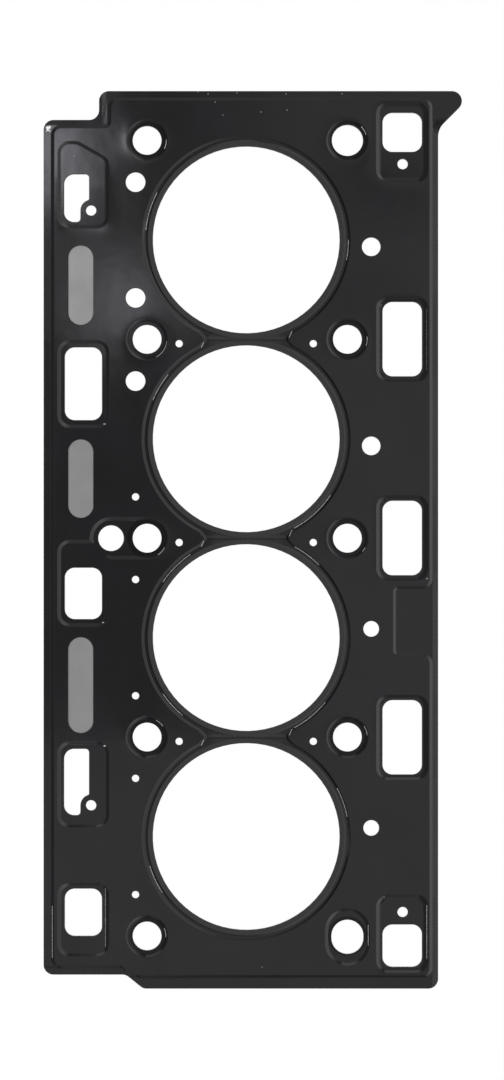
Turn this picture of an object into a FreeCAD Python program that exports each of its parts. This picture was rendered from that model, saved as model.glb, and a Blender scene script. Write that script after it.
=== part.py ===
"""Multi-layer steel cylinder head gasket for a four-cylinder engine.

Three steel sheets lie on each other. The upper and the lower one are thin spring steel, coated
black, and pressed into beads: a full bead round each cylinder opening, and half beads, or steps,
round the ports, the bolt holes and the edge. The flat carrier between them is bare steel and shows
through three windows in the upper sheet. A thin stopper ring round each cylinder opening lies on
the carrier, so that the full bead can't be crushed flat.

The frame: the origin is in the middle of the ten head bolts, on the plane of the engine block.
+X runs across the row of cylinders, +Y along it and +Z towards the cylinder head.
"""

import FreeCAD, Part
import Sketcher
from FreeCAD import Vector

import math
import os
import re

CYLINDERS = 4
ROWS = (2, 1, 0, -1, -2)

# Lengths in millimetres. An X is measured from the middle of the bolts. The rows of bolts, counted
# upwards from the middle one, lie midway between the cylinders and beyond the first and the last,
# and a Y is measured from the row, or the cylinder, that is named.
SIZES = [
    ("bore_diameter", 90.6, "cylinder opening"),
    ("bridge_width", 5.9, "sheet between two cylinder openings"),
    ("bore_x", -0.5, "line of the cylinder axes"),
    ("bolt_spacing", 97.2, "between the two columns of head bolts"),
    ("bolt_hole", 14.0, "diameter, for an M12 head bolt"),
    ("dowel_hole", 15.1, "diameter of the hole on the locating dowel"),
    ("dowel_slot_width", 15.5, "slotted dowel hole, across the row"),
    ("dowel_slot_play", 1.15, "between the centres of its two ends"),
    ("dowel_slot_y", -0.4, "its middle, from the last row of bolts"),
    ("sheet_thickness", 0.25, "upper and lower sheet"),
    ("carrier_thickness", 0.5, "flat sheet in the middle"),
    ("stopper_thickness", 0.1, "stopper rings"),
    ("stopper_width", 2.0, "stopper rings, radially"),
    ("stopper_setback", 0.2, "from the cylinder opening to the stopper ring"),
    ("step_height", 0.25, "half beads"),
    ("step_run", 1.5, "half beads, width of the slope"),
    ("bead_height", 0.3, "full beads"),
    ("bead_run", 1.0, "full beads, width of each slope"),
    ("bead_crest", 0.8, "full beads, width of the flat crest"),
    ("lip_width", 2.5, "from a cylinder opening to its bead"),
    ("bridge_land_length", 40.0, "land where two full beads meet, between the points of the web"),
    ("bridge_land_arm", 6.0, "how much further it reaches on both sides of those points"),
    ("bridge_land_width", 12.8, "the same land, along the row"),
    ("bridge_land_corner", 1.6, "corner radius of that land"),
    ("bridge_point_corner", 1.0, "corner radius of those points"),
    ("left_edge", 98.8, "straight left edge"),
    ("right_edge", 92.6, "straight right edge"),
    ("top_margin", 23.9, "top edge, beyond the first row of bolts"),
    ("bottom_margin", 25.5, "bottom edge, beyond the last row of bolts"),
    ("edge_corner", 4.8, "corner radius of the edge"),
    ("shoulder_drop", 14.0, "top left shoulder, below the top edge"),
    ("shoulder_width", 26.9, "top left shoulder"),
    ("heel_rise", 6.8, "bottom left heel, above the bottom edge"),
    ("heel_width", 39.9, "bottom left heel"),
    ("heel_slope", 8.4, "slope beside the heel, along X"),
    ("lug_size", 18.3, "pointed lug at the top right, at 45 degrees"),
    ("lug_hollow", 9.6, "radius between the lug and the right edge"),
    ("rim_left", 3.6, "raised rim along the left edge"),
    ("rim_right", 2.7, "raised rim along the right edge"),
    ("rim_top", 3.1, "raised rim along the top edge"),
    ("rim_bottom", 5.1, "raised rim along the bottom edge"),
    ("rim_shoulder", 2.4, "raised rim along the shoulder"),
    ("rim_step", 4.4, "raised rim beside the shoulder"),
    ("rim_heel", 2.9, "raised rim along the heel"),
    ("rim_slope", 2.5, "raised rim along the slope, along X"),
    ("rim_corner", 5.0, "corner radius where the web points out into the rim"),
    ("rim_hollow", 1.5, "corner radius where the rim points into the web"),
    ("tongue_reach", 17.7, "tongue of the rim on the right"),
    ("tongue_top", -24.7, "its upper side, from the middle row"),
    ("tongue_bottom", -55.7, "its lower side, from the middle row"),
    ("bolt_land", 3.2, "from a bolt hole to the foot of its step"),
    ("dowel_slot_land", 3.05, "from the slotted hole to the foot of its step"),
    ("dowel_land_play", 6.5, "between the centres of that land's ends"),
    ("left_port_x", -79.5, "middle of the left ports"),
    ("left_port_width", 18.0, "left ports"),
    ("left_port_land", 3.5, "from a left port to the foot of its step"),
    ("right_port_x", 75.2, "middle of the right ports"),
    ("right_port_width", 19.1, "right ports"),
    ("right_port_land", 3.1, "from a right port to the foot of its step"),
    ("port_corner", 4.8, "corner radius of the ports"),
    ("port_land_corner", 6.0, "corner radius at the foot of their steps"),
    ("chamfer_width", 15.2, "cut corner of the first left land, along X"),
    ("chamfer_height", 8.6, "the same, along Y"),
    ("notched_port_x", -82.8, "left ports with a notch in their outline"),
    ("notched_port_width", 12.1, "the same"),
    ("notched_port_corner", 1.8, "corner radius on their right side"),
    ("notch_radius", 5.2, "sheet kept round that small hole"),
    ("notch_corner", 1.0, "corner radius where that sheet meets the port's right edge"),
    ("small_hole", 5.0, "diameter of the small holes beside ports"),
    ("left_small_hole_x", -75.75, "those on the left"),
    ("right_small_hole_x", 75.4, "those on the right"),
    ("oil_hole", 12.4, "diameter of the oil feed hole"),
    ("oil_hole_x", -66.1, "oil feed hole"),
    ("left_coolant_x", -54.2, "round coolant holes on the left"),
    ("left_coolant_hole", 9.5, "their diameter"),
    ("right_coolant_x", 60.15, "round coolant holes on the right"),
    ("right_coolant_hole", 9.0, "diameter of the upper two"),
    ("right_coolant_small_hole", 7.6, "diameter of the lower two"),
    ("bleed_hole", 3.5, "diameter of the smallest coolant holes"),
    ("bleed_reach", 28.2, "those on the left, from a cylinder's axis"),
    ("bridge_bleed_x", 32.55, "those at the bridges, from the cylinder axes"),
    ("bridge_bleed_y", -2.1, "the same, from the row of bolts"),
    ("window_x", -80.8, "windows in the upper sheet"),
    ("window_width", 12.0, "the same"),
]

# Each port: its row of bolts, its middle above that row, its height, and how much further its
# raised land reaches above it and below it than beside it.
PORTS = {
    "left_port_1": (2, -28.0, 23.2, 12.6, -0.5),
    "left_port_2": (1, -21.55, 35.3, 0.0, 0.3),
    "left_port_3": (0, -26.8, 24.9, 10.0, 0.1),
    "left_port_4": (-1, -21.8, 32.2, 0.1, 2.5),
    "left_port_5": (-2, 11.5, 23.0, -0.7, 6.4),
    "right_port_1": (2, 3.9, 19.0, 2.4, 11.8),
    "right_port_2": (1, 0.1, 36.1, -0.4, -0.3),
    "right_port_3": (0, 0.1, 36.1, -0.4, -0.3),
    "right_port_4": (-1, -0.1, 36.1, -0.4, -0.3),
    "right_port_5": (-2, -4.7, 20.6, 11.5, -0.1),
}
CHAMFERED_LAND = "left_port_1"

# Ports with sheet kept round a small hole that lies in their lower right corner, and that hole.
NOTCHED_PORTS = {"left_port_1": "left_small_hole_1", "left_port_4": "left_small_hole_2"}

# Each round hole beside a port: its row of bolts and its place above that row.
SMALL_HOLES = {
    "left_small_hole_1": (2, -34.0),
    "left_small_hole_2": (-1, -33.1),
    "right_small_hole_1": (2, -11.5),
    "right_small_hole_2": (-2, 11.6),
}

# Each round coolant hole: its cylinder, counted from the top, and its place above that axis.
COOLANT_HOLES = {
    "left_coolant_1": (1, 28.0),
    "left_coolant_2": (1, -28.15),
    "left_coolant_3": (2, 28.0),
    "right_coolant_1": (1, -3.35),
    "right_coolant_2": (2, -3.45),
    "right_coolant_3": (3, 4.25),
    "right_coolant_4": (4, 4.15),
}

# Each window: its cylinder, its middle above that axis and its height.
WINDOWS = {
    "window_1": (1, -22.0, 38.5),
    "window_2": (2, -19.35, 38.0),
    "window_3": (3, -23.05, 46.4),
}

TABLES = [
    (PORTS, ("middle", "height", "land_above", "land_below")),
    (SMALL_HOLES, ("middle",)),
    (COOLANT_HOLES, ("middle",)),
    (WINDOWS, ("middle", "height")),
]

doc = FreeCAD.newDocument("head_gasket")


def make_sheet():
    """Writes every driving size to the sheet, with its name as its alias, and the sums of them."""
    sheet = doc.addObject("Spreadsheet::Sheet", "Sizes")
    rows = [(name, str(size), note) for name, size, note in SIZES]
    for table, names in TABLES:
        for item, (_, *sizes) in table.items():
            rows += [(f"{item}_{name}", str(size), item) for name, size in zip(names, sizes)]
    rows += [
        ("pitch", "=bore_diameter + bridge_width", "between two cylinders, or two rows"),
        ("stack", "=bead_height + sheet_thickness", "block plane to the carrier"),
        ("step_draft", "=atan(step_run / step_height)", "slope of the half beads"),
        ("bead_draft", "=atan(bead_run / bead_height)", "slope of the full beads"),
    ]
    for number, (name, content, note) in enumerate(rows, start=1):
        sheet.set(f"A{number}", note)
        sheet.set(f"B{number}", content)
        sheet.setAlias(f"B{number}", name)
    doc.recompute()
    return {name for name, _, _ in rows}


NAMES = make_sheet()


def bound(formula):
    """A formula in plain names, written as the document reads it."""
    return re.sub(r"[a-z]\w*", lambda m: f"Sizes.{m[0]}" if m[0] in NAMES else m[0], formula)


class Profile:
    """A sketch on a body's own XY plane, whose every size is bound to the sheet."""

    def __init__(self, body, name, level="0"):
        plane = next(f for f in body.Origin.OriginFeatures if f.Role == "XY_Plane")
        self.sketch = body.newObject("Sketcher::SketchObject", name)
        self.sketch.AttachmentSupport = (plane, "")
        self.sketch.MapMode = "FlatFace"
        self.sketch.setExpression("AttachmentOffset.Base.z", bound(level))
        self.constraints, self.formulas = [], {}

    def value(self, formula):
        return float(self.sketch.evalExpression(bound(formula)))

    def place(self, geometry):
        return self.sketch.addGeometry(geometry, False)

    def tie(self, kind, *where):
        self.constraints.append(Sketcher.Constraint(kind, *where))

    def size(self, kind, *where, formula):
        """A dimension whose value follows a formula."""
        self.formulas[len(self.constraints)] = bound(formula)
        self.tie(kind, *where, self.value(formula))

    def finish(self):
        """Puts the constraints into the sketch all at once, because it is solved after each call."""
        self.sketch.addConstraint(self.constraints)
        for index, formula in self.formulas.items():
            self.sketch.setExpression(f"Constraints[{index}]", formula)
        return self.sketch

    def pin(self, geometry, end, x, y):
        """Holds a point of a curve at a place measured from the sketch's origin."""
        self.size("DistanceX", -1, 1, geometry, end, formula=x)
        self.size("DistanceY", -1, 1, geometry, end, formula=y)

    def circle(self, x, y, diameter):
        centre = Vector(self.value(x), self.value(y), 0)
        ring = self.place(Part.Circle(centre, Vector(0, 0, 1), self.value(diameter) / 2))
        self.pin(ring, 3, x, y)
        self.size("Diameter", ring, formula=diameter)

    def arc(self, centre, radius, start, end):
        """An arc that runs anticlockwise from the direction of one point to that of another."""
        first = math.atan2(start.y - centre.y, start.x - centre.x)
        last = math.atan2(end.y - centre.y, end.x - centre.x)
        return self.place(Part.ArcOfCircle(Part.Circle(centre, Vector(0, 0, 1), radius), first, last))

    def line(self, start, end):
        return self.place(Part.LineSegment(start, end))

    def mark(self, x, y, *lines):
        """A sharp corner that lines pass through, held at its place."""
        corner = Part.Point(Vector(self.value(x), self.value(y), 0))
        point = self.sketch.addGeometry(corner, True)
        for line in lines:
            self.tie("PointOnObject", point, 1, line)
        self.pin(point, 1, x, y)

    def chain(self, curves):
        """Joins curves into a smooth ring: each comes with whether it runs the way of the ring."""
        for (here, onward), (following, along) in zip(curves, curves[1:] + curves[:1]):
            self.tie("Tangent", here, 2 if onward else 1, following, 1 if along else 2)

    def slot(self, x, y, end_x, end_y, radius):
        """Two round ends joined by straight sides."""
        start = Vector(self.value(x), self.value(y), 0)
        end = Vector(self.value(end_x), self.value(end_y), 0)
        reach = self.value(radius)
        side = (end - start).normalize().cross(Vector(0, 0, 1)) * reach
        back = self.arc(start, reach, start - side, start + side)
        front = self.arc(end, reach, end + side, end - side)
        right, left = self.line(start + side, end + side), self.line(end - side, start - side)
        self.chain([(curve, True) for curve in (back, right, front, left)])
        self.tie("Equal", back, front)
        self.pin(back, 3, x, y)
        self.pin(front, 3, end_x, end_y)
        self.size("Radius", back, formula=radius)

    def outline(self, corners):
        """A closed outline of straight sides: each corner is its sharp point and the radius that
        rounds it, in anticlockwise order."""
        points = [Vector(self.value(x), self.value(y), 0) for x, y, _ in corners]
        starts, ends, rounds, turns = [], [], [], []
        for n, (_, _, formula) in enumerate(corners):
            here, radius = points[n], self.value(formula)
            back = (points[n - 1] - here).normalize()
            onward = (points[(n + 1) % len(points)] - here).normalize()
            half = back.getAngle(onward) / 2
            centre = here + (back + onward).normalize() * (radius / math.sin(half))
            starts.append(here + back * (radius / math.tan(half)))
            ends.append(here + onward * (radius / math.tan(half)))
            turns.append(onward.cross(back).z > 0)
            edge = (starts[n], ends[n]) if turns[n] else (ends[n], starts[n])
            rounds.append(self.arc(centre, radius, *edge))
        sides = [self.line(ends[n], starts[(n + 1) % len(points)]) for n in range(len(points))]
        ring = []
        for n, (x, y, formula) in enumerate(corners):
            ring += [(rounds[n], turns[n]), (sides[n], True)]
            self.mark(x, y, sides[n - 1], sides[n])
            self.size("Radius", rounds[n], formula=formula)
        self.chain(ring)


def row(number):
    """How far a row of bolts, counted upwards from the middle one, lies from the origin."""
    return f"pitch * {number}"


def cylinder(number):
    """How far a cylinder, counted from the top, lies from the origin."""
    return f"pitch * {(CYLINDERS + 1) / 2 - number}"


def pad(body, profile, name, length, draft=None, symmetric=False):
    """Material on a profile; a draft makes it narrower as it rises."""
    feature = body.newObject("PartDesign::Pad", name)
    feature.Profile = profile.finish()
    feature.SideType = "Symmetric" if symmetric else "One side"
    feature.setExpression("Length", bound(length))
    if draft:
        feature.setExpression("TaperAngle", bound(f"-{draft}"))
    return feature


def pocket(body, profile, name, depth, draft):
    """A hollow below a profile, narrower as it sinks."""
    feature = body.newObject("PartDesign::Pocket", name)
    feature.Profile = profile.finish()
    feature.setExpression("Length", bound(depth))
    feature.setExpression("TaperAngle", bound(f"-{draft}"))
    return feature


def along_row(body, feature, name, count):
    """Repeats a feature towards the lower rows, one pitch apart."""
    pattern = body.newObject("PartDesign::LinearPattern", name)
    pattern.Originals = [feature]
    axis = next(f for f in body.Origin.OriginFeatures if f.Role == "Y_Axis")
    pattern.Direction = (axis, [""])
    pattern.Reversed = True
    pattern.Mode = "Spacing"
    pattern.setExpression("Offset", bound("pitch"))
    pattern.Occurrences = count
    body.Tip = pattern


def edge_outline(profile):
    """The edge that all three sheets share."""
    top, bottom = f"{row(2)} + top_margin", f"{row(-2)} - bottom_margin"
    heel, shoulder = f"{bottom} + heel_rise", f"{top} - shoulder_drop"
    left, right, corner = "-left_edge", "right_edge", "edge_corner"
    profile.outline(
        [
            (f"{left} + heel_width + heel_slope", bottom, corner),
            (right, bottom, corner),
            (right, f"{top} - lug_size", "lug_hollow"),
            (f"{right} + lug_size", top, corner),
            (f"{left} + shoulder_width", top, corner),
            (f"{left} + shoulder_width", shoulder, corner),
            (left, shoulder, corner),
            (left, heel, corner),
            (f"{left} + heel_width", heel, corner),
        ]
    )


def rim_outline(profile):
    """The upper line of the step along the edge, with a tongue of the rim on the right."""
    top, bottom = f"{row(2)} + top_margin - rim_top", f"{row(-2)} - bottom_margin + rim_bottom"
    heel = f"{row(-2)} - bottom_margin + heel_rise + rim_heel"
    shoulder = f"{row(2)} + top_margin - shoulder_drop - rim_shoulder"
    left, right = "-left_edge + rim_left", "right_edge - rim_right"
    step, tongue = "-left_edge + shoulder_width + rim_step", f"{right} - tongue_reach"
    profile.outline(
        [
            ("-left_edge + heel_width + heel_slope - rim_slope", bottom, "rim_corner"),
            (right, bottom, "rim_corner"),
            (right, "tongue_bottom", "rim_corner"),
            (tongue, "tongue_bottom", "rim_hollow"),
            (tongue, "tongue_top", "rim_hollow"),
            (right, "tongue_top", "rim_corner"),
            (right, top, "rim_corner"),
            (step, top, "rim_corner"),
            (step, shoulder, "rim_hollow"),
            (left, shoulder, "rim_corner"),
            (left, heel, "rim_corner"),
            ("-left_edge + heel_width - rim_slope", heel, "rim_hollow"),
        ]
    )


def port_edges(name):
    """A port's left, right, lower and upper edge."""
    side = name.split("_")[0]
    middle = f"{row(PORTS[name][0])} + {name}_middle"
    shape = "notched_port" if name in NOTCHED_PORTS else f"{side}_port"
    return (
        f"{shape}_x - {shape}_width / 2",
        f"{shape}_x + {shape}_width / 2",
        f"{middle} - {name}_height / 2",
        f"{middle} + {name}_height / 2",
    )


def port_land(profile, name):
    """The foot of the step round a port and what lies beside it."""
    side = name.split("_")[0]
    _, _, low, high = port_edges(name)
    margin, corner = f"{side}_port_land", "port_land_corner"
    left = f"{side}_port_x - {side}_port_width / 2 - {margin}"
    right = f"{side}_port_x + {side}_port_width / 2 + {margin}"
    low, high = f"{low} - {margin} - {name}_land_below", f"{high} + {margin} + {name}_land_above"
    cut = [(right, high, corner)]
    if name == CHAMFERED_LAND:
        cut = [
            (right, f"{high} - chamfer_height", corner),
            (f"{right} - chamfer_width", high, corner),
        ]
    profile.outline([(left, low, corner), (right, low, corner), *cut, (left, high, corner)])


def small_hole_place(name):
    """The middle of a small hole beside a port."""
    return f"{name.split('_')[0]}_small_hole_x", f"{row(SMALL_HOLES[name][0])} + {name}_middle"


def notched_outline(profile, name):
    """The edge of a port that leaves sheet standing round a small hole at its lower right. The
    curves follow each other anticlockwise from the lower edge."""
    left, right, low, high = port_edges(name)
    x, y = small_hole_place(NOTCHED_PORTS[name])
    radii = ("port_corner", "notched_port_corner", "notch_radius", "notch_corner")
    outer, inner, reach, blend = (profile.value(radius) for radius in radii)
    west, east, south, north = (profile.value(edge) for edge in (left, right, low, high))
    hole = Vector(profile.value(x), profile.value(y), 0)
    neck = hole.x - reach

    # The blend touches the notch from outside and the right edge from inside.
    aside = east - blend - hole.x
    middle = Vector(east - blend, hole.y + math.sqrt((reach + blend) ** 2 - aside**2), 0)
    touch = hole + (middle - hole) * (reach / (reach + blend))

    def corner(centre, radius, start, end):
        return profile.arc(Vector(*centre, 0), radius, Vector(*start, 0), Vector(*end, 0))

    def line(start, end):
        return profile.line(Vector(*start, 0), Vector(*end, 0))

    bottom = line((west + outer, south), (neck - inner, south))
    toe = corner((neck - inner, south + inner), inner, (neck - inner, south), (neck, south + inner))
    rise = line((neck, south + inner), (neck, hole.y))
    notch = profile.arc(hole, reach, touch, Vector(neck, hole.y, 0))
    turn = profile.arc(middle, blend, touch, Vector(east, middle.y, 0))
    side = line((east, middle.y), (east, north - inner))
    head = corner(
        (east - inner, north - inner), inner, (east, north - inner), (east - inner, north)
    )
    top = line((east - inner, north), (west + outer, north))
    shoulder = corner(
        (west + outer, north - outer), outer, (west + outer, north), (west, north - outer)
    )
    back = line((west, north - outer), (west, south + outer))
    heel = corner(
        (west + outer, south + outer), outer, (west, south + outer), (west + outer, south)
    )

    ring = (bottom, toe, rise, notch, turn, side, head, top, shoulder, back, heel)
    profile.chain([(curve, curve != notch) for curve in ring])
    profile.tie("Horizontal", bottom)
    profile.tie("Vertical", rise)
    profile.tie("Vertical", side)
    profile.pin(notch, 3, x, y)
    profile.mark(left, low, bottom, back)
    profile.mark(left, high, back, top)
    profile.mark(right, high, top, side)
    for curve, radius in zip((heel, head, notch, turn), radii):
        profile.size("Radius", curve, formula=radius)
    profile.tie("Equal", heel, shoulder)
    profile.tie("Equal", head, toe)


def bolt_lands(profile):
    """The feet of the steps round the bolt holes, two of which share theirs with another hole."""
    foot = "bolt_hole / 2 + bolt_land"
    for number in ROWS:
        if number != 0:
            profile.circle("-bolt_spacing / 2", row(number), f"2 * ({foot})")
        if number != -2:
            profile.circle("bolt_spacing / 2", row(number), f"2 * ({foot})")
    profile.slot("oil_hole_x", "0", "-bolt_spacing / 2", "0", foot)
    dowel_y = f"{row(-2)} + dowel_slot_y"
    profile.slot(
        "bolt_spacing / 2",
        f"{dowel_y} - dowel_land_play / 2",
        "bolt_spacing / 2",
        f"{dowel_y} + dowel_land_play / 2",
        "dowel_slot_width / 2 + dowel_slot_land",
    )


def make_form(name, lip_height):
    """The form that a sheet is pressed over. Its upper side is the sheet's lower side: the web at
    nought, with the rim, the lands and the full beads standing on it."""
    body = doc.addObject("PartDesign::Body", name)

    blank = Profile(body, f"{name}_edge", "-2 * sheet_thickness")
    edge_outline(blank)
    pad(body, blank, f"{name}_blank", "2 * sheet_thickness + step_height")

    rim = Profile(body, f"{name}_rim", "step_height")
    rim_outline(rim)
    pocket(body, rim, f"{name}_web", "step_height", "step_draft")

    for port in PORTS:
        foot = Profile(body, f"{name}_{port}_foot")
        port_land(foot, port)
        pad(body, foot, f"{name}_{port}_land", "step_height", "step_draft")

    bolts = Profile(body, f"{name}_bolt_feet")
    bolt_lands(bolts)
    pad(body, bolts, f"{name}_bolt_lands", "step_height", "step_draft")

    bead = Profile(body, f"{name}_bead_foot")
    reach = "bore_diameter + 2 * (lip_width + 2 * bead_run + bead_crest)"
    bead.circle("bore_x", cylinder(1), reach)
    crown = pad(body, bead, f"{name}_bead", "bead_height", "bead_draft")
    along_row(body, crown, f"{name}_beads", CYLINDERS)

    bridge = Profile(body, f"{name}_bridge_foot")
    half, side, corner = "bridge_land_length / 2", "bridge_land_width / 2", "bridge_land_corner"
    bridge.outline(
        [
            (f"bore_x - {half} - bridge_land_arm", f"{row(1)} - {side}", corner),
            (f"bore_x + {half} + bridge_land_arm", f"{row(1)} - {side}", corner),
            (f"bore_x + {half}", row(1), "bridge_point_corner"),
            (f"bore_x + {half} + bridge_land_arm", f"{row(1)} + {side}", corner),
            (f"bore_x - {half} - bridge_land_arm", f"{row(1)} + {side}", corner),
            (f"bore_x - {half}", row(1), "bridge_point_corner"),
        ]
    )
    land = pad(body, bridge, f"{name}_bridge_land", "bead_height", "bead_draft")
    along_row(body, land, f"{name}_bridge_lands", CYLINDERS - 1)

    lip = Profile(body, f"{name}_lip_edge", "bead_height")
    slope = f"bead_run * (bead_height - {lip_height}) / bead_height"
    lip.circle("bore_x", cylinder(1), f"bore_diameter + 2 * (lip_width + {slope})")
    sunk = pocket(body, lip, f"{name}_lip", f"bead_height - {lip_height}", "bead_draft")
    along_row(body, sunk, f"{name}_lips", CYLINDERS)
    return body


def make_openings():
    """A cutter with every opening that passes through all three sheets."""
    body = doc.addObject("PartDesign::Body", "openings")
    length = "4 * (bead_height + sheet_thickness + carrier_thickness)"

    for name in PORTS:
        port = Profile(body, f"{name}_edge")
        if name in NOTCHED_PORTS:
            notched_outline(port, name)
        else:
            left, right, low, high = port_edges(name)
            corners = [(left, low), (right, low), (right, high), (left, high)]
            port.outline([(x, y, "port_corner") for x, y in corners])
        pad(body, port, name, length, symmetric=True)

    bores = Profile(body, "bore_edges")
    for number in range(1, CYLINDERS + 1):
        bores.circle("bore_x", cylinder(number), "bore_diameter")
    pad(body, bores, "bores", length, symmetric=True)

    bolts = Profile(body, "bolt_edges")
    for number in ROWS:
        bolts.circle("-bolt_spacing / 2", row(number), "bolt_hole")
    for number in ROWS[1:-1]:
        bolts.circle("bolt_spacing / 2", row(number), "bolt_hole")
    bolts.circle("bolt_spacing / 2", row(2), "dowel_hole")
    bolts.slot(
        "bolt_spacing / 2",
        f"{row(-2)} + dowel_slot_y - dowel_slot_play / 2",
        "bolt_spacing / 2",
        f"{row(-2)} + dowel_slot_y + dowel_slot_play / 2",
        "dowel_slot_width / 2",
    )
    bolts.circle("oil_hole_x", "0", "oil_hole")
    pad(body, bolts, "bolt_holes", length, symmetric=True)

    coolant = Profile(body, "coolant_edges")
    for name in SMALL_HOLES:
        coolant.circle(*small_hole_place(name), "small_hole")
    for name, (number, _) in COOLANT_HOLES.items():
        side = name.split("_")[0]
        small = side == "right" and number > 2
        hole = f"{side}_coolant_small_hole" if small else f"{side}_coolant_hole"
        coolant.circle(f"{side}_coolant_x", f"{cylinder(number)} + {name}_middle", hole)
    pad(body, coolant, "coolant_holes", length, symmetric=True)

    bleeds = Profile(body, "bleed_edges")
    for number in range(2, CYLINDERS + 1):
        bleeds.circle("left_coolant_x", f"{cylinder(number)} - bleed_reach", "bleed_hole")
        if number > 2:
            bleeds.circle("left_coolant_x", f"{cylinder(number)} + bleed_reach", "bleed_hole")
    for number in ROWS[1:-1]:
        for side in ("-", "+"):
            x = f"bore_x {side} bridge_bleed_x"
            bleeds.circle(x, f"{row(number)} + bridge_bleed_y", "bleed_hole")
    pad(body, bleeds, "bleed_holes", length, symmetric=True)
    return body


def make_windows():
    """A cutter with the three round-ended windows of the upper sheet."""
    body = doc.addObject("PartDesign::Body", "windows")
    edges = Profile(body, "window_edges")
    for name, (number, _, _) in WINDOWS.items():
        middle = f"{cylinder(number)} + {name}_middle"
        half = f"({name}_height - window_width) / 2"
        edges.slot(
            "window_x", f"{middle} - {half}", "window_x", f"{middle} + {half}", "window_width / 2"
        )
    pad(body, edges, "window_openings", "4 * (bead_height + sheet_thickness)", symmetric=True)
    return body


def cut(name, base, tool):
    feature = doc.addObject("Part::Cut", name)
    feature.Base = base
    feature.Tool = tool
    return feature


def press_sheet(name, form):
    """A sheet of even thickness: what lies above the form and below the same form raised by it."""
    raised = doc.addObject("App::Link", f"{name}_raised_form")
    raised.LinkedObject = form
    raised.setExpression("Placement.Base.z", bound("sheet_thickness"))
    return cut(name, raised, form)


def make_upper_layer(openings):
    pressed = press_sheet("upper_pressed", make_form("upper_form", "stopper_thickness"))
    cutters = doc.addObject("Part::Compound", "upper_openings")
    cutters.Links = [openings, make_windows()]
    layer = cut("upper_layer", pressed, cutters)
    layer.setExpression("Placement.Base.z", bound("stack + carrier_thickness"))
    return layer


def make_lower_layer(openings):
    pressed = press_sheet("lower_pressed", make_form("lower_form", "0"))
    turned = doc.addObject("Part::Mirroring", "lower_turned")
    turned.Source = pressed
    turned.Base = Vector(0, 0, 0)
    turned.Normal = Vector(0, 0, 1)
    layer = cut("lower_layer", turned, openings)
    layer.setExpression("Placement.Base.z", bound("stack"))
    return layer


def make_middle_layer(openings):
    body = doc.addObject("PartDesign::Body", "carrier_blank")
    edge = Profile(body, "carrier_edge")
    edge_outline(edge)
    pad(body, edge, "carrier", "carrier_thickness")
    layer = cut("middle_layer", body, openings)
    layer.setExpression("Placement.Base.z", bound("stack"))
    return layer


def make_stopper_ring(number):
    body = doc.addObject("PartDesign::Body", f"stopper_ring_{number}")
    edges = Profile(body, f"stopper_edges_{number}")
    inside = "bore_diameter + 2 * stopper_setback"
    edges.circle("0", "0", inside)
    edges.circle("0", "0", f"{inside} + 2 * stopper_width")
    pad(body, edges, f"stopper_{number}", "stopper_thickness")
    body.setExpression("Placement.Base.x", bound("bore_x"))
    body.setExpression("Placement.Base.y", bound(cylinder(number)))
    body.setExpression("Placement.Base.z", bound("stack + carrier_thickness"))
    return body


def check(parts):
    """Stops before anything is written if a feature failed or a piece isn't one sound solid."""
    for item in doc.Objects:
        if {"Invalid", "Error"} & set(item.State):
            raise SystemExit(f"{item.Name} failed: {item.State}")
    for part in parts:
        if part.Shape.isNull() or not part.Shape.isValid() or len(part.Shape.Solids) != 1:
            raise SystemExit(f"{part.Label} isn't one sound solid")


def main():
    openings = make_openings()
    parts = [make_upper_layer(openings), make_middle_layer(openings), make_lower_layer(openings)]
    parts += [make_stopper_ring(number) for number in range(1, CYLINDERS + 1)]
    for part in parts:
        part.Label = part.Name
    doc.recompute()
    check(parts)
    os.makedirs("parts", exist_ok=True)
    for part in parts:
        part.Shape.exportStep(f"parts/{part.Label}.step")
        size = part.Shape.BoundBox
        print(part.Label, f"{size.XLength:.2f} x {size.YLength:.2f} x {size.ZLength:.2f} mm,")
        print(f"    {part.Shape.Volume:.0f} cubic mm")


main()
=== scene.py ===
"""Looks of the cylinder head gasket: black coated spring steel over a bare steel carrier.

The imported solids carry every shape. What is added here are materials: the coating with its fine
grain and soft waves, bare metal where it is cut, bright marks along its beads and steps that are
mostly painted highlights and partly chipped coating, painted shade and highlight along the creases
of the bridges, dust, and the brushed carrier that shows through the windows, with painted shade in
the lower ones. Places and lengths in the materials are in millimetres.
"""

import math

import bpy
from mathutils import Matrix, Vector


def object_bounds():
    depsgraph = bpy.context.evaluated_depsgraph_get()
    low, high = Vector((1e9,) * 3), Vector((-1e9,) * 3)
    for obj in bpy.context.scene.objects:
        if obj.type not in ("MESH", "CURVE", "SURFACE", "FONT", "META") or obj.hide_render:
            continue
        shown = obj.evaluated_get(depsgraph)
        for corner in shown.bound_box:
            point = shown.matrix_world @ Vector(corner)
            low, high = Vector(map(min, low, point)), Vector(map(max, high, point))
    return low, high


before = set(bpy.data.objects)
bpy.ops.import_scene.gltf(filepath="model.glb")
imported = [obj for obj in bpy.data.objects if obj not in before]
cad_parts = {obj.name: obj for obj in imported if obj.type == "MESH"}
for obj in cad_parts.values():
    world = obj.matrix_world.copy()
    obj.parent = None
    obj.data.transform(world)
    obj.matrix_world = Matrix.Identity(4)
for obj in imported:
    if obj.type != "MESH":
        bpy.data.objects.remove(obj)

MM = 0.001
cad_low, cad_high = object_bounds()

# The photograph's frame: its height and its middle, on the plane of the sheets.
FRAME_HEIGHT = 524.0 * MM
VIEW_MIDDLE = Vector((2.31, -0.87, 1.3)) * MM
CAMERA_DISTANCE = 1.25

# Where the sheet is pressed up. The bolts stand in two columns of five, one pitch apart, as the
# cylinders between them do, and the feet of their steps are circles.
PITCH = 96.5
BOLT_X = 48.6
BOLT_FOOT = 10.2
BORE_X = -0.5
STEP_RUN = 1.5
LIP_RADIUS = 48.0

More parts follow.
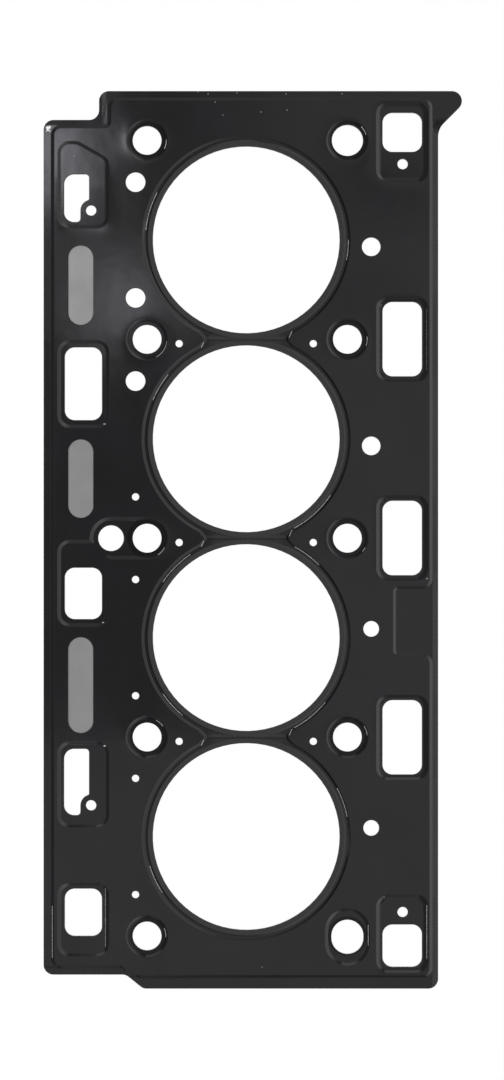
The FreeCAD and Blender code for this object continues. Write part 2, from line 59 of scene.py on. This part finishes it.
# Where the rim of the sheet starts, outside the step that follows its edge. The heel is the short
# lower edge on the left and the shoulder the short upper one, and each ends where the edge jumps
# outwards. The lug starts on the right edge. Each blend is how softly the rim changes there.
RIM_RIGHT = 89.9
RIM_BOTTOM = -211.8
RIM_HEEL = -207.3
HEEL_END, HEEL_BLEND = -57.0, 4.0
RIM_SHOULDER = 200.4
SHOULDER_END, SHOULDER_BLEND = -68.0, 3.0
LUG_FOOT, LUG_BLEND = 196.0, 8.0

# The feet round the ports on the right: the middle, half the width and height, the corner radius.
# The first stands for the three equal ones in the inner rows.
RIGHT_LANDS = [
    (75.2, 0.0, 12.65, 20.8, 6.0),
    (75.2, 192.2, 12.65, 19.7, 6.0),
    (75.2, -192.0, 12.65, 19.1, 6.0),
]

# The same of the first port on the left, beside which the sheet bends most, and between which
# heights it does.
LEFT_LAND = (-79.7, 172.0, 10.6, 20.4, 4.0)
LEFT_BEND_FROM, LEFT_BEND_TO = 168.0, 186.0

# How high the sheet bends up at the foot of a step, and how far that reaches.
BEND_HEIGHT = 0.05
LEFT_BEND_HEIGHT = 0.07
BEND_REACH = 2.5

# How wide and steep the crowned edge of a land is, and the rim's slopes at the right edge and at
# the shoulder. All of the sheet above the step along the bottom edge is lower by the given drop.
CROWN_WIDTH, CROWN_SLOPE = 0.9, 0.08
RIM_WIDTH, RIM_SLOPE = 2.6, 0.1
SHOULDER_SLOPE = 0.009
RIM_DROP = 0.05

# The radius of the sheet's folds.
FOLD_RADIUS = 0.45

# Painted highlights along the beads, drawn as thin worn stretches of bright steel: the cylinder from
# the top, the angle where they start and end, and their radius. Painted highlights along the steps
# round the bolts: the column, the row from the top, and the same.
BEAD_PAINTED_GLINTS = [
    (1, -12.0, 0.0, 49.6), (1, 151.0, 172.0, 48.9),
    (2, -62.0, -38.0, 49.2), (2, 140.0, 157.0, 49.0),
    (3, -147.0, -134.0, 48.7), (3, -62.0, -44.0, 49.5), (3, 42.0, 60.0, 49.9),
    (3, 120.0, 141.0, 48.6),
    (4, -168.0, -150.0, 48.9), (4, 6.0, 24.0, 49.9),
]
BOLT_PAINTED_GLINTS = [
    (1, 1, -32.0, -2.0, 9.3), (1, 2, -65.0, -18.0, 9.6), (1, 3, -64.0, -40.0, 9.6),
    (1, 4, 25.0, 53.0, 9.3), (1, 5, -15.0, 20.0, 9.1),
    (2, 1, 3.0, 38.0, 9.4), (2, 2, -24.0, -5.0, 9.6), (2, 3, -52.0, -36.0, 9.7),
    (2, 4, 5.0, 30.0, 9.6),
]

# The radius that the full value of their colour ramp stands for.
MOST_RADIUS = 100.0

# Bright marks, mostly painted highlights along steps and partly chipped coating: the middle and
# half the width and height. Less than nought makes one thinner than its ragged edge. The painted
# highlights on the points of the bridges are counted from the middle of each bridge and lean over
# to the right.
CHIPS_AND_GLINTS = [
    (58.7, -192.7, 0.08, 5.0),
    (87.1, -191.0, 0.08, 13.0),
    (-94.6, -191.0, 0.08, 12.5),
    (-69.2, 55.4, 0.5, 0.2),
    (-69.9, -40.9, 0.4, 0.2),
    (-69.2, -100.8, 0.5, 0.3),
    (-68.8, -184.0, 0.04, 14.0),
    (87.0, 96.5, 0.0, 14.8),
    (87.3, -19.6, 0.3, 0.2),
    (-70.1, 207.6, -0.02, 2.6),
    (-68.4, 207.3, -0.02, 2.9),
]
BRIDGE_SKEW = 0.45
BRIDGE_GLINTS = [(-20.45, -2.75, 0.12, 1.3), (19.95, 2.4, 0.12, 1.5)]
# A painted highlight on the top left corner, drawn as a ragged bright chip.
CORNER_GLINT = (-96.7, 198.7, 0.9, 1.3)

# Above this height the bright marks are whiter: there they are dust, and the painted highlights on
# the top left corner and on the step beside it.
WHITER_ABOVE, WHITER_BLEND = 190.0, 4.0

# How wide the painted highlights along beads and bolts are to each side, how ragged they, the other
# bright marks and the corner highlight are, and how softly all of them end.
GLINT_HALF_WIDTH = 0.09
MARK_RAGGED = 0.25
CORNER_RAGGED = 4.0
MARK_EDGE = 0.12

# Specks of dust.
DUST_RADIUS = 0.15
DUST = [
    (-23.9, 216.5), (-19.0, 215.5), (-15.6, 211.6), (-11.8, 205.3), (-5.0, 216.0), (6.7, 206.8),
    (18.8, 215.5), (19.3, 207.8), (46.0, 215.5), (7.2, -208.1), (-84.1, 185.4),
]

# Painted shade: the carrier is darker below the first height than above the second, as if its upper
# windows mirrored more light.
SHADED_BELOW, LIT_ABOVE = 60.0, 90.0

# Greys of the coating: its two shades and its grain, the two shades of the duller lips, and the
# painted shade at the foot and painted highlight on the flank of the crease along a bridge.
COAT_DARK, COAT_PALE, COAT_GRAIN = 0.0045, 0.0065, 0.013
LIP_DARK, LIP_PALE = 0.0115, 0.021
CREASE_PAINTED_SHADE, CREASE_PAINTED_HIGHLIGHT = 0.001, 0.019

# Greys of bare steel on the cut edges; of the bright marks, mostly painted highlights, partly chipped
# coating, and dust, low and high on the sheet; and of the carrier, its brush marks and its part with
# painted shade.
EDGE_DARK, EDGE_PALE = 0.36, 0.55
MARK_GREY, MARK_WHITE = 0.55, 0.95
CARRIER_DARK, CARRIER_PALE, CARRIER_BRUSHED, CARRIER_PAINTED_SHADE = 0.33, 0.375, 0.34, 0.235

# Tints of the steel on cut edges, the carrier, the coating's paler shade, and the light spots.
STEEL_TINT = (1.0, 0.98, 0.96)
CARRIER_TINT = (1.0, 0.985, 0.99)
COAT_TINT = (1.0, 1.0, 1.3)
SPOT_TINT = (1.0, 0.99, 1.08)

# The light and dark spots overhead that the flat sheet mirrors, as directions whose x and y are
# nought straight up: the middle, the spread, the strength, and between which values of y they
# start and end.
SPOTS = [
    ((-0.077, 0.151), (0.0099, 0.018), 5.7, (0.119, 0.128), (0.1615, 0.1685)),
    ((-0.05, 0.09), (0.012, 0.014), 2.7, (0.07, 0.077), (0.107, 0.122)),
    ((0.05, 0.135), (0.014, 0.008), -0.45, (0.1, 0.11), (0.16, 0.17)),
    ((0.039, 0.094), (0.012, 0.008), -0.25, (0.06, 0.07), (0.11, 0.13)),
]

# What the flanks of beads and steps mirror further aside: a grey that changes from left to right
# between the given values of x, and a light and a dark spot.
SURROUND = 0.42
SURROUND_CHANGES = [(-0.1, -0.45, 0.5), (0.12, 0.2, -0.18), (0.38, 0.44, -0.18), (0.55, 0.62, 0.26)]
SURROUND_SPOTS = [((-0.22, 0.0), (0.08, 0.4), 1.35), ((0.02, 0.23), (0.05, 0.03), -0.27)]

# Where the surround takes over from the ceiling: on the left, on the right, and up and down.
NEAR_LEFT, NEAR_RIGHT, NEAR_HEIGHT = (-0.115, -0.09), (0.11, 0.15), (0.17, 0.22)

LAMPS = {"left_softbox": (-1.3, 0.3, 0.9), "right_softbox": (1.3, -0.3, 0.9)}
LAMP_SIZE = (0.5, 0.9)
LAMP_WATTS = 8.0
FLOOR_SIZE = 60.0


class Graph:
    """Builds shader nodes from plain calls; a value can be a number or the output of a node."""

    def __init__(self, tree):
        self.tree = tree
        tree.nodes.clear()

    def node(self, kind, **settings):
        made = self.tree.nodes.new(kind)
        for name, value in settings.items():
            setattr(made, name, value)
        return made

    def feed(self, socket, value):
        if isinstance(value, bpy.types.NodeSocket):
            self.tree.links.new(value, socket)
        elif value is not None:
            socket.default_value = value

    def math(self, operation, a, b=None):
        made = self.node("ShaderNodeMath", operation=operation)
        self.feed(made.inputs[0], a)
        self.feed(made.inputs[1], b)
        return made.outputs[0]

    def add(self, a, b):
        return self.math("ADD", a, b)

    def sub(self, a, b):
        return self.math("SUBTRACT", a, b)

    def mul(self, a, b):
        return self.math("MULTIPLY", a, b)

    def least(self, a, b):
        return self.math("MINIMUM", a, b)

    def most(self, a, b):
        return self.math("MAXIMUM", a, b)

    def absolute(self, value):
        return self.math("ABSOLUTE", value)

    def ramp(self, value, low, high, to_low=0.0, to_high=1.0):
        """A smooth passage from one value to another."""
        made = self.node("ShaderNodeMapRange", interpolation_type="SMOOTHSTEP")
        for socket, given in zip(made.inputs, (value, low, high, to_low, to_high)):
            self.feed(socket, given)
        return made.outputs[0]

    def fall(self, value, low, high):
        """A smooth passage from one down to nought."""
        return self.ramp(value, low, high, 1.0, 0.0)

    def vector(self, operation, a, b=None):
        made = self.node("ShaderNodeVectorMath", operation=operation)
        self.feed(made.inputs[0], a)
        self.feed(made.inputs[1], b)
        return made.outputs["Value" if operation == "LENGTH" else "Vector"]

    def point(self, scale=(1.0, 1.0, 1.0)):
        """The place on the object, in millimetres, stretched by the given factors."""
        place = self.node("ShaderNodeTexCoord").outputs["Object"]
        return self.vector("MULTIPLY", place, tuple(s / MM for s in scale))

    def split(self, vector):
        made = self.node("ShaderNodeSeparateXYZ")
        self.feed(made.inputs[0], vector)
        return made.outputs

    def join(self, x, y):
        made = self.node("ShaderNodeCombineXYZ")
        self.feed(made.inputs[0], x)
        self.feed(made.inputs[1], y)
        return made.outputs[0]

    def length(self, x, y):
        return self.vector("LENGTH", self.join(x, y))

    def noise(self, place, size, detail=2.0, roughness=0.5):
        """Cloudy values from 0 to 1, whose blotches are about as large as the given millimetres."""
        made = self.node("ShaderNodeTexNoise")
        self.feed(made.inputs["Vector"], place)
        made.inputs["Scale"].default_value = 1.0 / size
        made.inputs["Detail"].default_value = detail
        made.inputs["Roughness"].default_value = roughness
        return made.outputs["Fac"]

    def blob(self, a, b, centre, spread):
        """One at a centre, fading away smoothly over the given spread."""
        far = [
            self.math("POWER", self.absolute(self.mul(self.sub(value, middle), 1.0 / width)), 2.0)
            for value, middle, width in zip((a, b), centre, spread)
        ]
        return self.math("EXPONENT", self.mul(self.add(*far), -0.5))

    def mix(self, factor, a, b):
        made = self.node("ShaderNodeMix", data_type="RGBA")
        self.feed(made.inputs[0], factor)
        self.feed(made.inputs[6], a)
        self.feed(made.inputs[7], b)
        return made.outputs[2]

    def bump(self, height, distance, strength=1.0, normal=None):
        made = self.node("ShaderNodeBump")
        self.feed(made.inputs["Height"], height)
        self.feed(made.inputs["Distance"], distance)
        self.feed(made.inputs["Strength"], strength)
        self.feed(made.inputs["Normal"], normal)
        return made.outputs[0]

    def finish(self, **sockets):
        shader = self.node("ShaderNodeBsdfPrincipled")
        for name, value in sockets.items():
            self.feed(shader.inputs[name.replace("_", " ")], value)
        output = self.node("ShaderNodeOutputMaterial")
        self.tree.links.new(shader.outputs[0], output.inputs[0])


def grey(value, tint=(1.0, 1.0, 1.0)):
    return tuple(value * t for t in tint) + (1.0,)


def material(name):
    made = bpy.data.materials.new(name)
    made.use_nodes = True
    return made, Graph(made.node_tree)


def beyond(g, place, x, y, half_x, half_y, corner):
    """How far a place lies outside a rounded rectangle: less than nought inside it."""
    away = g.vector("ABSOLUTE", g.vector("SUBTRACT", place, (x, y, 0.0)))
    away = g.vector("SUBTRACT", away, (half_x - corner, half_y - corner, 0.0))
    x, y, _ = g.split(away)
    inner = g.least(g.most(x, y), 0.0)
    outer = g.vector("LENGTH", g.vector("MAXIMUM", away, (0.0, 0.0, 0.0)))
    return g.sub(g.add(outer, inner), corner)


def folded(g, place, along, low, high):
    """The same place, counted from the nearest of the rows that lie one pitch apart."""
    x, y, _ = g.split(place)
    number = g.math("ROUND", g.mul(g.sub(y, along), 1.0 / PITCH))
    number = g.least(g.most(number, low), high)
    return x, g.sub(g.sub(y, along), g.mul(number, PITCH)), number


def by_cylinder(g, place):
    """Counted from the nearest cylinder's axis, with its number from the top, less one."""
    x, y, number = folded(g, place, PITCH / 2, -2, 1)
    return g.sub(x, BORE_X), y, g.sub(1.0, number)


def by_bridge(g, place):
    """Counted from the nearest bridge between two cylinders: the first and last row are far off."""
    x, y, number = folded(g, place, 0.0, -2, 2)
    away = g.ramp(g.absolute(number), 1.4, 1.6)
    return x, g.add(y, g.mul(away, PITCH))


def by_bolt(g, place):
    """Counted from the nearest bolt, as if both columns were the right one."""
    x, y, _ = folded(g, place, 0.0, -2, 2)
    return g.sub(g.absolute(x), BOLT_X), y


def fading(g, far):
    """One at the foot of a step, less further out."""
    return g.math("EXPONENT", g.mul(far, -1.0 / BEND_REACH))


def limited(g, value, most):
    return g.least(g.most(value, 0.0), most)


def spring(g, place):
    """How high the thin sheet bends beside its steps."""
    x, along, _ = g.split(place)
    bolts = g.sub(g.length(*by_bolt(g, place)), BOLT_FOOT)
    inner, *ends = RIGHT_LANDS
    ports = beyond(g, g.join(*by_bridge(g, place)), *inner)
    for land in ends:
        ports = g.least(ports, beyond(g, place, *land))
    bent = g.mul(fading(g, g.most(g.least(bolts, ports), 0.0)), BEND_HEIGHT)

    crown = g.mul(limited(g, g.sub(-STEP_RUN, ports), CROWN_WIDTH), CROWN_SLOPE)
    rim_slope = g.ramp(along, LUG_FOOT, LUG_FOOT + LUG_BLEND, RIM_SLOPE, 0.0)
    rim = g.mul(limited(g, g.sub(x, RIM_RIGHT), RIM_WIDTH), rim_slope)
    bent = g.add(bent, g.add(crown, rim))

    left = fading(g, g.most(beyond(g, place, *LEFT_LAND), 0.0))
    height = g.ramp(along, LEFT_BEND_FROM, LEFT_BEND_TO, LEFT_BEND_HEIGHT, 0.0)
    bent = g.add(bent, g.mul(left, height))

    slope = g.ramp(x, SHOULDER_END - SHOULDER_BLEND, SHOULDER_END, SHOULDER_SLOPE, 0.0)
    bent = g.sub(bent, g.mul(g.most(g.sub(along, RIM_SHOULDER), 0.0), slope))
    foot = g.ramp(x, HEEL_END - HEEL_BLEND, HEEL_END, RIM_HEEL, RIM_BOTTOM)
    return g.sub(bent, g.mul(g.ramp(along, g.sub(foot, STEP_RUN), foot), RIM_DROP))


def painted_glint_distance(g, x, y, number, stretches, rings):
    """How far a place lies from the painted highlights along a row of equal rings, drawn as worn
    stretches.

    A colour ramp holds the rings one after the other, each from its left once round. Its values
    are the radius of the painted highlight at that angle, and nought where there is none.
    """
    turn = g.mul(g.math("ARCTAN2", y, x), 0.5 / math.pi)
    where = g.mul(g.add(g.add(number, turn), 0.5), 1.0 / rings)
    bands = g.node("ShaderNodeValToRGB")
    bands.color_ramp.interpolation = "CONSTANT"
    stops = bands.color_ramp.elements
    stops[0].color = stops[1].color = grey(0.0)
    for ring, start, end, radius in stretches:
        for angle, value in ((start, radius / MOST_RADIUS), (end, 0.0)):
            stops.new((ring - 1 + 0.5 + angle / 360.0) / rings).color = grey(value)
    g.feed(bands.inputs[0], where)
    radius = g.mul(bands.outputs[0], MOST_RADIUS)
    return g.absolute(g.sub(g.length(x, y), radius))


def glints_chips_and_dust(g, place):
    """Where bright marks are painted on the coating: painted highlights along beads, steps and
    bridges, partly chipped coating, and dust. One on the marks, nought elsewhere.
    """
    nearest = painted_glint_distance(g, *by_cylinder(g, place), BEAD_PAINTED_GLINTS, 4)
    x, y, number = folded(g, place, 0.0, -2, 2)
    right = g.math("GREATER_THAN", x, 0.0)
    column = g.sub(x, g.sub(g.mul(right, 2.0 * BOLT_X), BOLT_X))
    number = g.add(g.sub(2.0, number), g.mul(right, 5.0))
    bolt_glints = [(5 * (side - 1) + row, *stretch) for side, row, *stretch in BOLT_PAINTED_GLINTS]
    bolts = painted_glint_distance(g, column, y, number, bolt_glints, 10)
    nearest = g.sub(g.least(nearest, bolts), GLINT_HALF_WIDTH)
    for bright_mark in CHIPS_AND_GLINTS:
        nearest = g.least(nearest, beyond(g, place, *bright_mark, 0.0))
    x, y = by_bridge(g, place)
    bridge = g.join(g.sub(x, g.mul(y, BRIDGE_SKEW)), y)
    for bright_mark in BRIDGE_GLINTS:
        nearest = g.least(nearest, beyond(g, bridge, *bright_mark, 0.0))
    ragged = g.mul(g.sub(g.noise(place, 0.9, 3.0, 0.6), 0.5), MARK_RAGGED)
    nearest = g.add(nearest, ragged)
    ragged = g.mul(g.sub(g.noise(place, 1.3, 3.0, 0.7), 0.5), CORNER_RAGGED)
    nearest = g.least(nearest, g.add(beyond(g, place, *CORNER_GLINT, 0.0), ragged))
    for x, y in DUST:
        far = g.vector("LENGTH", g.vector("SUBTRACT", place, (x, y, 0.0)))
        nearest = g.least(nearest, g.sub(far, DUST_RADIUS))
    return g.fall(nearest, -MARK_EDGE, MARK_EDGE)


def black_coating(name, glinted):
    """A thin satin coating over spring steel, bare on the cut edges, with painted shade and highlight
    along the creases of the bridges and, if glinted, painted highlights, chips and dust as bright
    marks.
    """
    made, g = material(name)
    place = g.point()
    flat = g.point((1.0, 1.0, 0.0))
    grain = g.noise(place, 0.35, 3.0, 0.6)
    cloud = g.noise(place, 30.0, 3.0, 0.5)
    smear = g.noise(g.point((1.0, 0.25, 1.0)), 9.0, 3.0, 0.55)

    up = g.absolute(g.split(g.node("ShaderNodeNewGeometry").outputs["True Normal"])[2])
    cut = g.fall(up, 0.3, 0.6)

    coat = g.mix(g.ramp(cloud, 0.3, 0.7), grey(COAT_DARK), grey(COAT_PALE, COAT_TINT))
    coat = g.mix(g.mul(g.ramp(grain, 0.45, 0.8), 0.3), coat, grey(COAT_GRAIN))
    lip = on_lip(g, flat)
    coat = g.mix(lip, coat, g.mix(grain, grey(LIP_DARK), grey(LIP_PALE)))
    # Painted shade at the foot of each bridge's crease and painted highlight on its flank.
    foot, flank_highlight = painted_crease(g, flat)
    coat = g.mix(foot, g.mix(flank_highlight, coat, grey(CREASE_PAINTED_HIGHLIGHT)), grey(CREASE_PAINTED_SHADE))
    steel = g.mix(smear, grey(EDGE_DARK, STEEL_TINT), grey(EDGE_PALE, STEEL_TINT))
    bare_and_glints = cut
    if glinted:
        # Painted highlights, partly chipped coating, and dust, as bright grey marks that are whiter
        # high up.
        bright_mark = glints_chips_and_dust(g, flat)
        whiter = g.ramp(g.split(place)[1], WHITER_ABOVE - WHITER_BLEND, WHITER_ABOVE)
        steel = g.mix(bright_mark, steel, g.mix(whiter, grey(MARK_GREY), grey(MARK_WHITE)))
        bare_and_glints = g.most(cut, bright_mark)

    wave_height, grain_height = 0.05, 0.004 * MM
    height = g.add(spring(g, flat), g.mul(cloud, wave_height))
    wave = g.bump(height, MM, 1.0, round_edges(g))
    smooth = g.ramp(smear, 0.3, 0.75, 0.065, 0.085)
    g.finish(
        Base_Color=g.mix(bare_and_glints, coat, steel),
        Metallic=g.mul(cut, 0.9),
        Roughness=g.add(smooth, g.mul(g.most(bare_and_glints, lip), 0.25)),
        Specular_IOR_Level=round_bolts(g, flat),
        Normal=g.bump(grain, grain_height, 0.5, wave),
    )
    return made


def round_bolts(g, place):
    """How strongly the coating mirrors: less where bolts have pressed on it, round their holes."""
    pressed, clear = 9.3, 9.8
    return g.ramp(g.length(*by_bolt(g, place)), pressed, clear, 0.25, 0.5)


def painted_crease(g, place):
    """The painted fold along the middle of each bridge: how dark the painted shade at its foot is and
    how light the painted highlight on its flank.
    """
    half_length, fade = 17.5, 2.5
    foot_y, flank_y = -0.5, 0.7
    x, y = by_bridge(g, place)
    here = g.fall(g.absolute(g.sub(x, BORE_X)), half_length, half_length + fade)
    foot = g.fall(g.absolute(g.sub(y, foot_y)), 0.2, 0.6)
    flank_highlight = g.fall(g.absolute(g.sub(y, flank_y)), 0.3, 0.9)
    return g.mul(foot, here), g.mul(flank_highlight, here)


def on_lip(g, place):
    """One on the lips of the cylinder openings and the bridges, whose coating is duller."""
    x, y, _ = by_cylinder(g, place)
    lip = g.fall(g.length(x, y), LIP_RADIUS - 0.4, LIP_RADIUS + 0.2)
    x, y = by_bridge(g, place)
    bridge = g.mul(g.fall(g.absolute(y), 2.0, 4.0), g.ramp(g.absolute(x), 14.0, 20.0, 0.5, 0.0))
    return g.most(lip, bridge)


def round_edges(g):
    """The normal of the surface with its folds slightly rounded."""
    bevel = g.node("ShaderNodeBevel", samples=6)
    bevel.inputs["Radius"].default_value = FOLD_RADIUS * MM
    return bevel.outputs[0]


def bare_steel():
    """The brushed carrier, with painted shade darkening the lower windows."""
    made, g = material("bare_steel")
    place = g.point()
    brushed = g.noise(g.point((1.0, 0.03, 1.0)), 0.25, 4.0, 0.6)
    cloud = g.noise(place, 14.0, 3.0, 0.5)
    dark, pale = grey(CARRIER_DARK, CARRIER_TINT), grey(CARRIER_PALE, CARRIER_TINT)
    colour = g.mix(g.ramp(cloud, 0.3, 0.7), dark, pale)
    colour = g.mix(g.mul(g.ramp(brushed, 0.4, 0.75), 0.25), colour, grey(CARRIER_BRUSHED))
    # Painted shade: darker in the lower windows.
    painted_shade = g.ramp(g.split(place)[1], SHADED_BELOW, LIT_ABOVE, 0.5, 0.0)
    g.finish(
        Base_Color=g.mix(painted_shade, colour, grey(CARRIER_PAINTED_SHADE)),
        Metallic=0.85,
        Roughness=g.ramp(brushed, 0.3, 0.7, 0.38, 0.5),
        Normal=g.bump(brushed, 0.01 * MM, 0.6),
    )
    return made


def floor_white():
    """White wherever it is seen, and it still takes the object's shadow."""
    made, g = material("floor_white")
    cloud = g.noise(g.point(), 900.0, 2.0)
    seen = g.node("ShaderNodeLightPath").outputs
    behind = g.most(seen["Is Camera Ray"], seen["Is Glossy Ray"])
    behind = g.most(behind, seen["Is Transmission Ray"])
    shader = g.node("ShaderNodeBsdfPrincipled")
    g.feed(shader.inputs["Base Color"], g.mix(cloud, grey(0.88), grey(0.9)))
    g.feed(shader.inputs["Roughness"], 0.8)
    glow = g.node("ShaderNodeEmission")
    g.feed(glow.inputs["Color"], grey(1.0))
    blend = g.node("ShaderNodeMixShader")
    g.feed(blend.inputs[0], g.mul(behind, 0.985))
    g.tree.links.new(shader.outputs[0], blend.inputs[1])
    g.tree.links.new(glow.outputs[0], blend.inputs[2])
    output = g.node("ShaderNodeOutputMaterial")
    g.tree.links.new(blend.outputs[0], output.inputs[0])
    return made


def dress(node, made):
    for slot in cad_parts[node].material_slots:
        slot.material = made


def make_floor():
    bpy.ops.mesh.primitive_plane_add(size=FLOOR_SIZE, location=(0, 0, cad_low.z - 0.02 * MM))
    floor = bpy.context.object
    floor.name = "floor"
    floor.data.materials.append(floor_white())


def ceiling(g, x, y):
    """What the flat sheet mirrors: a dim ceiling with pale panels and spots."""
    dim, pale = 0.245, 0.39
    panels = g.most(g.ramp(x, -0.045, 0.04), g.ramp(y, -0.07, -0.082))
    level = g.add(g.mul(panels, pale), dim)
    for centre, spread, strength, start, end in SPOTS:
        between = g.mul(g.ramp(y, *start), g.fall(y, *end))
        level = g.add(level, g.mul(g.mul(g.blob(x, y, centre, spread), between), strength))
    return level


def surround(g, x, y):
    """What the flanks mirror: grey, with a band towards -Y that is dark on the left of its middle."""
    level = SURROUND
    for start, end, change in SURROUND_CHANGES:
        level = g.add(level, g.mul(g.ramp(x, start, end), change))
    for centre, spread, strength in SURROUND_SPOTS:
        level = g.add(level, g.mul(g.blob(x, y, centre, spread), strength))
    band = g.mul(g.ramp(y, -0.53, -0.49), g.fall(y, -0.39, -0.35))
    band = g.mul(band, g.fall(g.absolute(x), 0.15, 0.25))
    return g.add(level, g.mul(band, g.ramp(x, -0.064, -0.052, -0.38, 0.75)))


def make_world():
    """The studio: the ceiling near straight up, the surround further aside, and white low down."""
    world = bpy.data.worlds.new("studio")
    bpy.context.scene.world = world
    world.use_nodes = True
    g = Graph(world.node_tree)
    x, y, z = g.split(g.node("ShaderNodeTexCoord").outputs["Generated"])
    overhead = ceiling(g, x, y)
    near = g.mul(g.ramp(x, *NEAR_LEFT), g.fall(x, *NEAR_RIGHT))
    near = g.mul(near, g.fall(g.absolute(y), *NEAR_HEIGHT))
    aside = g.mul(surround(g, x, y), g.sub(1.0, near))
    level = g.most(g.add(g.mul(overhead, near), aside), g.fall(z, 0.1, 0.5))
    back = g.node("ShaderNodeBackground")
    colour = g.mix(g.ramp(overhead, 0.8, 2.0), grey(1.0), grey(1.0, SPOT_TINT))
    g.feed(back.inputs["Color"], colour)
    g.feed(back.inputs["Strength"], level)
    output = g.node("ShaderNodeOutputWorld")
    g.tree.links.new(back.outputs[0], output.inputs[0])


def softbox(name, place):
    """A rectangular lamp that points at the middle of the gasket."""
    data = bpy.data.lights.new(name, "AREA")
    data.shape = "RECTANGLE"
    data.size, data.size_y = LAMP_SIZE
    data.energy = LAMP_WATTS
    lamp = bpy.data.objects.new(name, data)
    bpy.context.scene.collection.objects.link(lamp)
    lamp.location = place
    lamp.rotation_euler = (VIEW_MIDDLE - Vector(place)).to_track_quat("-Z", "Y").to_euler()


def make_camera():
    """Looks straight down, as the photograph does."""
    data = bpy.data.cameras.new("camera")
    data.lens = data.sensor_width * CAMERA_DISTANCE / FRAME_HEIGHT
    data.clip_start, data.clip_end = 0.05, 100.0
    camera = bpy.data.objects.new("camera", data)
    camera.location = VIEW_MIDDLE + Vector((0, 0, CAMERA_DISTANCE))
    bpy.context.scene.collection.objects.link(camera)
    bpy.context.scene.camera = camera


looks = {
    "upper_layer": black_coating("coating_with_painted_glints", glinted=True),
    "lower_layer": black_coating("black_coating", glinted=False),
}
steel = bare_steel()
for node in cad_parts:
    dress(node, looks.get(node, steel))
make_floor()
make_world()
for name, place in LAMPS.items():
    softbox(name, place)
make_camera()

bpy.context.scene.view_settings.view_transform = "Standard"
